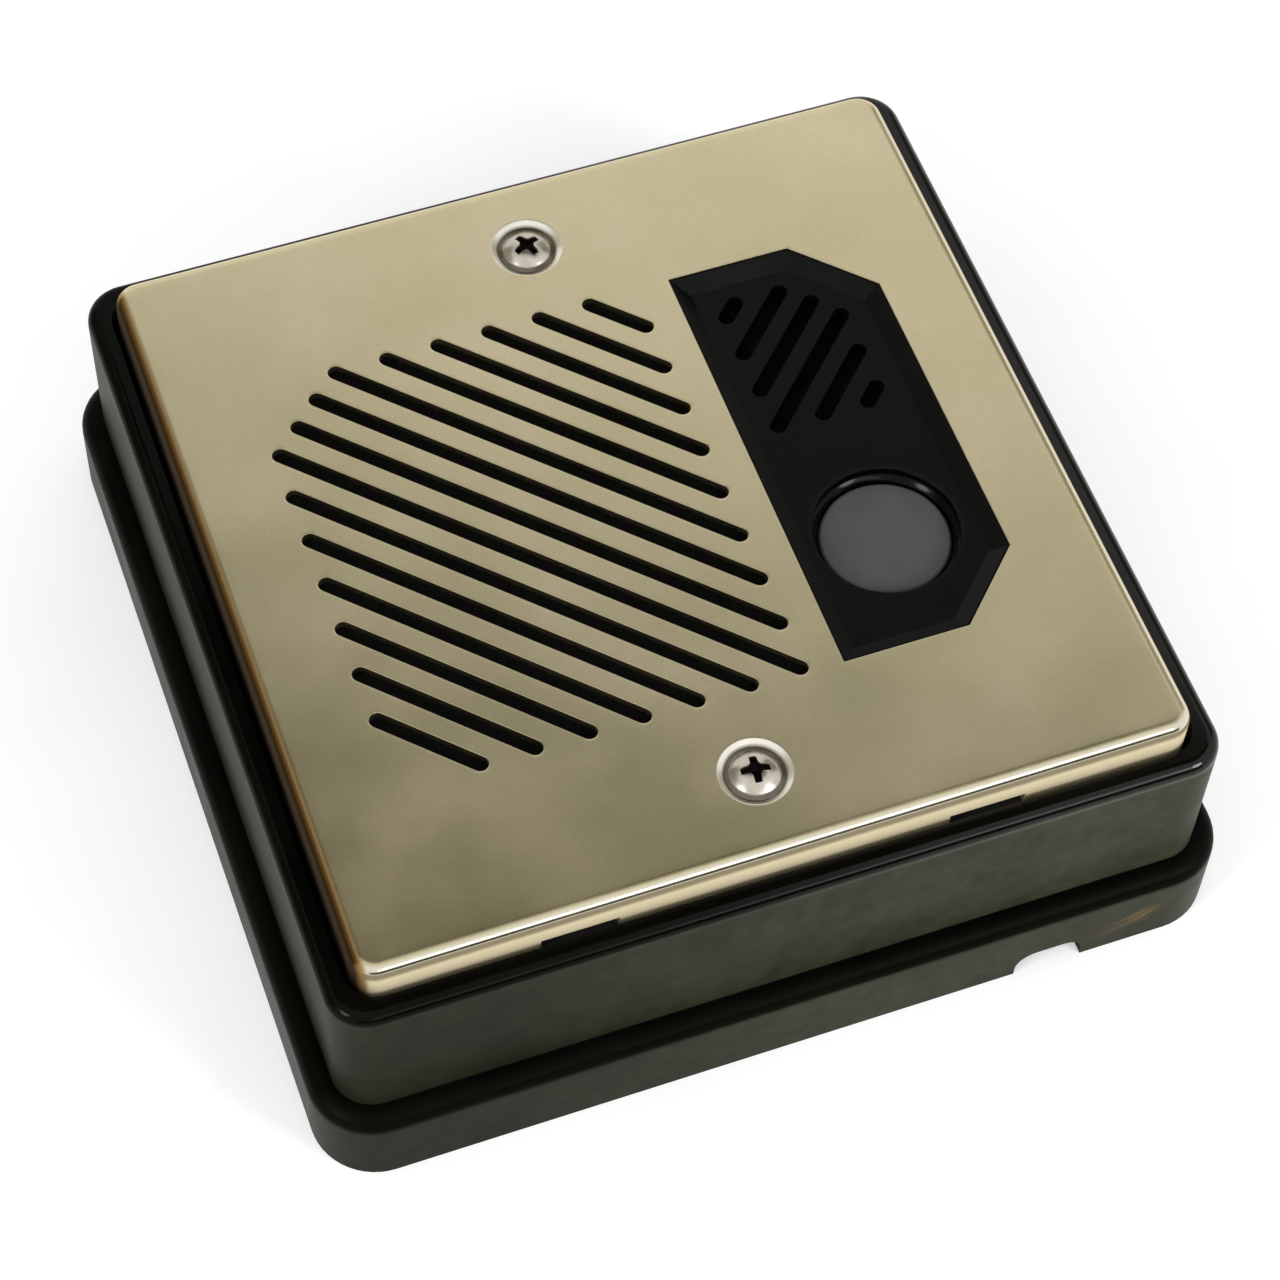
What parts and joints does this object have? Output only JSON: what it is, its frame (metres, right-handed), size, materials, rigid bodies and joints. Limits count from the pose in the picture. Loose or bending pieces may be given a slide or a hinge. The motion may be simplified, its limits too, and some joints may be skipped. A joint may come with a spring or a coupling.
{
  "type": "door intercom station",
  "caption": "Square wall-mounted door intercom: slotted metal face plate with speaker, insert with microphone grille and sunk call button, on a moulded box with base skirt and cable notch.",
  "frame": {"origin": "centre of the box's back, on the wall", "axes": "+Z out of the wall through the face plate, +Y up the wall, +X to the insert's side"},
  "size_m": [0.1288, 0.1288, 0.0426],
  "materials": {
    "box_shell": "moulded black-grey plastic, satin",
    "face_metal": "brushed warm nickel",
    "screw_steel": "bright",
    "black_plastic": "satin",
    "grey_plastic": "satin",
    "plunger_plastic": "satin",
    "black_rubber": "matt",
    "brass": "turned",
    "copper": "wound wire",
    "zinc_steel": "zinc plated",
    "pole_steel": "zinc plated",
    "spring_steel": "drawn wire",
    "ferrite": "ground ferrite",
    "foam": "open foam",
    "cloth": "woven",
    "paper": "pressed paper",
    "spider_cloth": "resin cloth",
    "capsule_metal": "drawn can",
    "board_laminate": "solder resist",
    "capacitor_sleeve": "shrink sleeve",
    "terminal_plastic": "moulded",
    "tag_board": "paper laminate with tinned tags",
    "wire_cover": "soft covering"
  },
  "bodies": {
    "station": {"back_box": "box_shell", "cable_grommet": "black_rubber", "screw_inserts": "brass", "plate_gasket": "black_rubber", "face_plate": "face_metal", "plate_screws": "screw_steel", "weld_studs": "zinc_steel", "insert_gasket": "black_rubber", "insert_panel": "black_plastic", "insert_nuts": "zinc_steel", "mic_foam": "foam", "mic_boot": "black_rubber", "mic_capsule": "capsule_metal", "button_spring": "spring_steel", "switch_body": "black_plastic", "circuit_board": "board_laminate", "board_screws": "zinc_steel", "amplifier_chip": "black_plastic", "capacitors": "capacitor_sleeve", "terminal_block": "terminal_plastic", "terminal_screws": "zinc_steel", "terminal_clamps": "brass", "speaker_cloth": "cloth", "speaker_gasket": "foam", "speaker_frame": "zinc_steel", "cone_surround": "black_rubber", "cone_spider": "spider_cloth", "magnet_washer": "pole_steel", "speaker_magnet": "ferrite", "magnet_yoke": "pole_steel", "speaker_tags": "tag_board", "speaker_leads": "wire_cover", "speaker_clamps": "zinc_steel", "clamp_nuts": "zinc_steel"},
    "button": {"call_button": "grey_plastic", "switch_plunger": "plunger_plastic"},
    "cone": {"speaker_cone": "paper", "dust_cap": "paper", "voice_coil": "copper"}
  },
  "joints": [
    {"name": "button_press", "type": "slide", "parent": "station", "child": "button", "axis": [0, 0, -1], "range_m": [0, 0.0012], "stiffness_N_per_m": 800, "springref_m": -0.0025, "deforming": ["button_spring"]},
    {"name": "cone_move", "type": "slide", "parent": "station", "child": "cone", "axis": [0, 0, 1], "range_m": [-0.0004, 0.0004], "stiffness_N_per_m": 1500, "deforming": ["cone_surround", "cone_spider"]}
  ]
}
